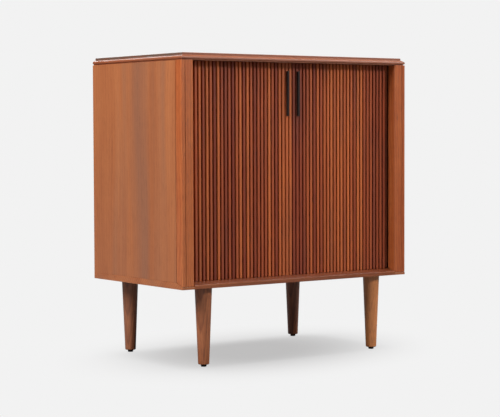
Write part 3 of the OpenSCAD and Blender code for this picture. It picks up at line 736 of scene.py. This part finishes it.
def back_screws():
    """Countersunk screws along the edge of the back. A head's face is a disc of rings, pressed in by
    1.2 mm where it lies within the two crossed slots of the recess."""
    edge_x = side_low.x + REBATE_W / 2
    side_z = np.linspace(floor_z + BACK_SCREW_SET, ceiling_z - BACK_SCREW_SET, BACK_SCREWS_SIDE)
    end_x = (np.arange(BACK_SCREWS_END) - (BACK_SCREWS_END - 1) / 2) * 2 * side_low.x / BACK_SCREWS_END
    centres = [(side * edge_x, z) for side in (LEFT, RIGHT) for z in side_z]
    centres += [(x, z) for z in (floor_z - REBATE_W / 2, ceiling_z + REBATE_W / 2) for x in end_x]
    head_h = BACK_HEAD_R - BACK_SCREW_R
    shank = [(BACK_SCREW_R * 0.3, -BACK_SCREW_L), (BACK_SCREW_R, -BACK_SCREW_L + 3 * MM),
             (BACK_SCREW_R, -head_h), (BACK_HEAD_R, -0.1 * MM)]
    face = [(BACK_HEAD_R * share, 0) for share in (0.97, 0.7, 0.62, 0.5, 0.38, 0.26, 0.16, 0.05)]
    rings = turned(shank + face, sides=32)
    x, y = np.abs(rings[..., 0]), np.abs(rings[..., 1])
    in_slot = (np.minimum(x, y) < 0.42 * MM) & (np.maximum(x, y) < 0.66 * BACK_HEAD_R) & (rings[..., 2] == 0)
    rings[..., 2] -= 1.2 * MM * in_slot
    screws = np.stack([rings[..., [0, 2, 1]] + (x, back_y, z) for x, z in centres])
    solid("back_screw_set", screws, "steel", stands_for=["back_screws"])


# ----------------------------
# Legs
# ----------------------------

def leg_centres():
    """The legs' axes, front right, front left, rear right and rear left."""
    x, y = (leg_low.x + leg_high.x) / 2, (leg_low.y + leg_high.y) / 2
    return [(x, y), (-x, y), (x, -y), (-x, -y)]


def legs():
    """Turned legs: a straight taper, a rounded lower edge, a tenon on top, and a domed glide below."""
    foot_z = leg_low.z
    a = np.linspace(0, math.pi / 2, 6)
    edge = np.stack([LEG_FOOT_R - LEG_EDGE_R * (1 - np.sin(a)), foot_z + LEG_EDGE_R * (1 - np.cos(a))], -1)
    share = np.linspace(0, 1, 9)[1:]
    lower = edge[-1]
    taper = np.stack([lower[0] + (LEG_TOP_R - lower[0]) * share, lower[1] + (leg_h - lower[1]) * share], -1)
    taper[-1] = LEG_TOP_R - 0.3 * MM, leg_h
    taper[-2] = LEG_TOP_R - 0.02 * MM, leg_h - 0.4 * MM
    tenon = [(TENON_R, leg_h), (TENON_R, leg_h + TENON_H)]
    profile = np.concatenate([[(NAIL_R, foot_z)], edge, taper, tenon])
    glide_r = (glide_high.x - glide_low.x) / 2
    dome = [(glide_r * 0.6, 0), (glide_r * 0.86, 0.25 * MM), (glide_r, 1.4 * MM),
            (glide_r, foot_z - 0.3 * MM), (glide_r * 0.96, foot_z), (NAIL_R, foot_z), (NAIL_R, glide_high.z)]
    for k, name in enumerate(("front_right", "front_left", "rear_right", "rear_left")):
        centre = leg_centres()[k]
        # Each leg comes from its own place in the log.
        log = (0.31 * k - centre[0], 0.17 * k - centre[1], 0.4 * k)
        # Its tone also carries the front right leg's painted light and the rear right leg's painted shade.
        solid(f"{name}_turned_leg", turned(profile, centre, 64), "walnut_leg", stands_for=[f"{name}_leg"],
              log=log, tone=LEG_LIGHT_TONES[k])
        solid(f"{name}_foot_glide", turned(dome, centre), "glide_plastic", stands_for=[f"{name}_glide"])


# ----------------------------
# Tambour doors
# ----------------------------

def slat_rings(numbers):
    """Slats by their numbers from the middle: [slat, ring, point, 3], and each point's place in its own
    slat. From the bottom up the rings are the tongue's end, the tongue at the shoulder, the body with
    eased ends, and the same again above."""
    body = rounded(rectangle(-slat_w / 2, -slat_face, slat_w / 2, back_face), SLAT_R, 4)
    tongue = np.stack([body[:, 0], np.maximum(body[:, 1], -back_face)], -1)
    low, high = slats_low.z, slats_high.z
    shoulder_low, shoulder_high = floor_z + SHOULDER_GAP, ceiling_z - SHOULDER_GAP
    ease = 0.35 * MM
    outlines = [tongue, tongue, drawn_in(body, ease), drawn_in(body, 0.1 * MM), body,
                body, drawn_in(body, 0.1 * MM), drawn_in(body, ease), tongue, tongue]
    step = 0.02 * MM
    levels = np.array([
        low, shoulder_low - step, shoulder_low, shoulder_low + 0.1 * MM, shoulder_low + ease,
        shoulder_high - ease, shoulder_high - 0.1 * MM, shoulder_high, shoulder_high + step, high])
    flat = np.stack(outlines)
    s = (numbers[:, None, None] + 0.5) * SLAT_PITCH
    x, y = on_track(s, flat[..., 0], flat[..., 1])
    z = np.broadcast_to(levels[:, None], x.shape)
    local = np.stack([np.broadcast_to(flat[..., k], x.shape) for k in range(2)] + [z], -1)
    return np.stack([x, y, z], -1), local


def slats(name, side, numbers, part):
    """One stretch of a door's slats. Each slat has its own shade, and its strip was cut near its
    neighbour's, up to SLAT_STRAY away."""
    rings, local = slat_rings(numbers)
    draw = np.random.default_rng(SLAT_SEED[side])
    strips = draw.uniform(-1, 1, (slat_count, 3)) * SLAT_STRAY
    strips[:, 0] += side * (np.arange(slat_count) + 0.5) * SLAT_PITCH
    # The right door's extra paleness is painted light.
    tones = draw.beta(1.4, 1.5, slat_count) + SLAT_TONE_AND_LIGHT[side]
    places = local + strips[numbers][:, None, None]
    tone = np.broadcast_to(tones[numbers][:, None, None], rings.shape[:3])
    return solid(f"{name}_{part}_slats", mirrored(rings, side), "walnut_slat", stands_for=[f"{name}_slats"],
                 places=places.reshape(-1, 3), tone=tone.ravel())


def canvas(name, side, start, end, part):
    """One stretch of the canvas behind the slats: a thin sheet along the track from start to end."""
    arc = np.clip(bend_x + np.linspace(0, bend_l, 13), start, end)
    steps = np.unique(np.concatenate([[start], arc, [end]]))
    low, high = floor_z + CANVAS_MARGIN, ceiling_z - CANVAS_MARGIN
    corners = rounded(rectangle(back_face, low, back_face + CANVAS_T, high), 0.2 * MM, 2)
    x, y = on_track(steps[:, None], 0, corners[:, 0])
    z = np.broadcast_to(corners[:, 1], x.shape)
    rings = np.stack([x, y, z], -1)
    places = np.stack([np.broadcast_to(steps[:, None], x.shape), y, z], -1)
    piece = solid(f"{name}_{part}_canvas", mirrored(rings, side), "canvas", stands_for=[f"{name}_canvas"],
                  places=places.reshape(-1, 3))
    return piece


def lead_stile(name, side):
    """The fluted stile that leads a door: three ribs, a batten behind them, and tongues above and below."""
    front, back = run_y - slat_face, run_y + back_face
    flute = front + FLUTE_D
    edge = MEET_GAP / 2
    corners = [(edge, flute)]
    radii = [.3]
    for k in range(LEAD_RIBS):
        middle = (k + 0.5) * SLAT_PITCH
        low, high = middle - slat_w / 2, middle + slat_w / 2
        corners += [(low, flute), (low, front), (high, front)]
        radii += [.3, 1, 1]
        if k < LEAD_RIBS - 1:
            corners.append((high, flute))
            radii.append(.3)
    batten_x = MEET_GAP
    corners += [(lead_w, back), (batten_x + BATTEN_W, back), (batten_x + BATTEN_W, back + BATTEN_T),
                (batten_x, back + BATTEN_T), (batten_x, back), (edge, back)]
    radii += [.3, .2, 1, 1, .15, .2]
    low_z, high_z = floor_z + SHOULDER_GAP, ceiling_z - SHOULDER_GAP
    overlap = 1 * MM
    body = board(rounded(corners, np.array(radii) * MM, 4), low_z, high_z, 0.1 * MM)
    piece = new_object(f"{name}_stile", mesh_of(f"{name}_stile", mirrored(body, side)))
    for z0, z1 in ((stile_low.z, low_z + overlap), (high_z - overlap, stile_high.z)):
        tongue = block((edge, back - TONGUE_T, z0), (lead_w, back, z1), 0.2 * MM)
        join(piece, mesh_of("tongue", mirrored(tongue, side)))
    dress(piece, "walnut_slat", body=f"{name}_door", stands_for=[f"{name}_lead_stile"],
          log=mirrored(LOGS["stile"], side), tone=STILE_TONE_AND_HIGHLIGHT[side])


def handle(name, side):
    """A plain upright bar with rounded front edges and eased ends."""
    outline = rounded(rectangle(handle_low.x, handle_low.y, handle_high.x, handle_high.y), HANDLE_R, 5)
    solid(f"{name}_pull", mirrored(board(outline, handle_low.z, handle_high.z, 0.8 * MM), side),
          "ebonised_wood", body=f"{name}_door", stands_for=[f"{name}_handle"],
          log=mirrored(LOGS["handle"], side))


def door(name, side):
    """A door: its stile and handle slide with the door. Its slats and canvas are built in two stretches,
    the front one up to the bend and the one in the bend and the pocket, and each piece gets its own mesh."""
    lead_stile(name, side)
    handle(name, side)
    front = [slats(name, side, np.arange(LEAD_RIBS, first_bent), "front"),
             canvas(name, side, curtain_start, bend_x, "front")]
    pocket = [slats(name, side, np.arange(first_bent, slat_count), "pocket"),
              canvas(name, side, bend_x, tail_end, "pocket")]
    for stretch, hold_x, keep in ((front, bend_x, CURTAIN_KEEP), (pocket, run_x, POCKET_KEEP)):
        for piece in stretch:
            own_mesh(piece)


# ----------------------------
# The whole table
# ----------------------------

top_panel()
bottom_panel()
back_and_interior()
back_screws()
legs()
for side_name, side_sign in SIDES.items():
    side_panel(side_name, side_sign)
    front_post(side_name, side_sign)
    door(side_name, side_sign)

# What stays as packed: inner pieces that are hidden, or small and already right.
for node_name, slot_name in (("case_dowels", "beech"), ("shelf_pins", "steel"),
                             ("left_handle_screws", "steel"), ("right_handle_screws", "steel")):
    node_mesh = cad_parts[node_name].data
    node_mesh.materials.clear()
    node_mesh.materials.append(FINISHES[slot_name])


# ----------------------------
# Studio
# ----------------------------

BACKDROP, ROOM_COLOUR, ROOM = "#F2F2F2", "#F4F6FA", 0.06
FLOOR_SIZE, FLOOR_WHITE, FLOOR_GLOW, FLOOR_BOUNCE = 16.0, 0.8, 0.57, 0.45
# The oval in which the floor shows its shadow: half its length and width in metres, its turn, and the
# share of its radius at which it starts to fade
FADE_SIZE, FADE_TURN, FADE_START = (0.568, 0.404), math.radians(26), 0.17

# Square softboxes: bearing in degrees from the front towards the right, height in degrees above the
# horizon, distance and size in metres, power in watts, and the point that they face
TABLE_MIDDLE = (0, 0, 0.4)
SOFTBOXES = {
    "front_softbox": (24, 31, 3.2, 0.6, 70, (0, -0.15, 0.5)),
    "left_softbox": (-84, 38, 3.0, 1.6, 130, (-0.2, 0, 0.45)),
    "right_softbox": (75, 35, 3.0, 1.6, 66, TABLE_MIDDLE),
    "rear_softbox": (163, 38, 3.0, 1.2, 50, TABLE_MIDDLE),
    "top_softbox": (180, 86, 3.0, 1.2, 26, TABLE_MIDDLE),
    "fill_softbox": (-40, 8, 3.0, 2.0, 7, TABLE_MIDDLE),
}
OVERHEAD_SOFTBOX = (-153, 82.4, 6.6, 4.6, 460, TABLE_MIDDLE)


def neutral(value):
    """A grey of this brightness, as linear red, green, blue and alpha."""
    return value, value, value, 1.0


def studio_floor():
    """A plain pale floor. In an oval under the table it takes the soft shadow of the overhead light.
    Towards the oval's edge it fades into the backdrop's own tone, so that no edge shows. It throws little
    light back at the table, as if it were seen against a lit backdrop but stood in a dim room."""
    half = FLOOR_SIZE / 2
    mesh = bpy.data.meshes.new("studio_floor")
    corners = rectangle(-half, -half, half, half)
    mesh.from_pydata([(*corner, 0) for corner in corners.tolist()], [], [(0, 1, 2, 3)])
    material, tree = new_material("pale_floor")
    places = add(tree, "TexCoord").outputs["Object"]
    oval = add(tree, "Mapping", {"Vector": places, "Scale": (*FADE_SIZE, 1.0),
                                 "Rotation": (0.0, 0.0, FADE_TURN)}, vector_type="TEXTURE").outputs[0]
    distance = add(tree, "VectorMath", {0: oval}, operation="LENGTH").outputs["Value"]
    far = add(tree, "MapRange", {"Value": distance, "From Min": FADE_START, "To Min": FLOOR_GLOW,
                                 "To Max": 1.0}, interpolation_type="SMOOTHSTEP").outputs[0]
    matt = add(tree, "BsdfDiffuse", {"Color": neutral(FLOOR_WHITE)}).outputs[0]
    glow = add(tree, "Emission", {"Color": linear(BACKDROP)}).outputs[0]
    shown = add(tree, "MixShader", {0: far, 1: matt, 2: glow}).outputs[0]
    dim = add(tree, "BsdfDiffuse", {"Color": neutral(FLOOR_BOUNCE)}).outputs[0]
    seen = add(tree, "LightPath").outputs["Is Camera Ray"]
    both = add(tree, "MixShader", {0: seen, 1: dim, 2: shown}).outputs[0]
    add(tree, "OutputMaterial", {"Surface": both})
    mesh.materials.append(material)
    floor = new_object("studio_floor", mesh)
    return floor


def softbox(name, bearing, height, distance, size, power, aim):
    """A square softbox that faces the table, placed as the comment on SOFTBOXES says."""
    turn, rise = math.radians(bearing), math.radians(height)
    arm = Vector((math.sin(turn) * math.cos(rise), -math.cos(turn) * math.cos(rise), math.sin(rise)))
    light = bpy.data.lights.new(name, "AREA")
    light.size, light.energy = size, power
    lamp = new_object(name, light)
    lamp.location = Vector(aim) + arm * distance
    lamp.rotation_euler = arm.to_track_quat("Z", "Y").to_euler()
    return lamp


def aim_at(lamp, floor, link_state):
    """Keeps a softbox's light off the floor, as a flag in front of it would, or on the floor alone."""
    flag = bpy.data.collections.new(f"{lamp.name}_flag")
    flag.objects.link(floor)
    flag.collection_objects[0].light_linking.link_state = link_state
    lamp.light_linking.receiver_collection = flag


def studio_light(floor):
    """The front softbox stands a little right of the table's front, so that the top's overhang shades
    the head of the slats. A wide one on the left lights the side, one on the right the right end, and
    one behind gives the top's slope its gloss. One straight above lights the top, and a faint one in
    front fills the shadows. The overhead one gives the floor alone its light and its soft shadow."""
    for name, placed in SOFTBOXES.items():
        aim_at(softbox(name, *placed), floor, "EXCLUDE")
    aim_at(softbox("overhead_softbox", *OVERHEAD_SOFTBOX), floor, "INCLUDE")
    world = bpy.data.worlds.new("studio")
    world.use_nodes = True
    tree = world.node_tree
    tree.nodes.clear()
    seen = add(tree, "LightPath").outputs["Is Camera Ray"]
    backdrop = add(tree, "Background", {"Color": linear(BACKDROP), "Strength": 1.0}).outputs[0]
    room = add(tree, "Background", {"Color": linear(ROOM_COLOUR), "Strength": ROOM}).outputs[0]
    both = add(tree, "MixShader", {0: seen, 1: room, 2: backdrop}).outputs[0]
    add(tree, "OutputWorld", {"Surface": both})
    bpy.context.scene.world = world


# The camera stands left of the front at half a metre, below the tabletop, and looks slightly down. The
# numbers come from a fit to the photograph, whose frame is 500 pixels wide.
CAMERA_PLACE = (-2.1361, -2.9368, 0.4925)
CAMERA_TURN, CAMERA_PITCH, CAMERA_ROLL = math.radians(36.002), math.radians(-2.766), math.radians(-0.211)
PICTURE_W, FOCAL_PIXELS, SENSOR_W = 500, 1633.4, 36.0


def studio_camera():
    """A camera turned by CAMERA_TURN from +Y towards +X, tilted by CAMERA_PITCH and rolled by CAMERA_ROLL."""
    data = bpy.data.cameras.new("camera")
    data.sensor_fit, data.sensor_width = "HORIZONTAL", SENSOR_W
    data.lens = FOCAL_PIXELS / PICTURE_W * SENSOR_W
    camera = new_object("camera", data)
    camera.location = CAMERA_PLACE
    level = math.cos(CAMERA_PITCH)
    sight = Vector((math.sin(CAMERA_TURN) * level, math.cos(CAMERA_TURN) * level, math.sin(CAMERA_PITCH)))
    camera.rotation_euler = (sight.to_track_quat("-Z", "Y") @ Quaternion((0, 0, 1), CAMERA_ROLL)).to_euler()
    bpy.context.scene.camera = camera


studio_light(studio_floor())
studio_camera()
bpy.context.scene.view_settings.view_transform = "Standard"
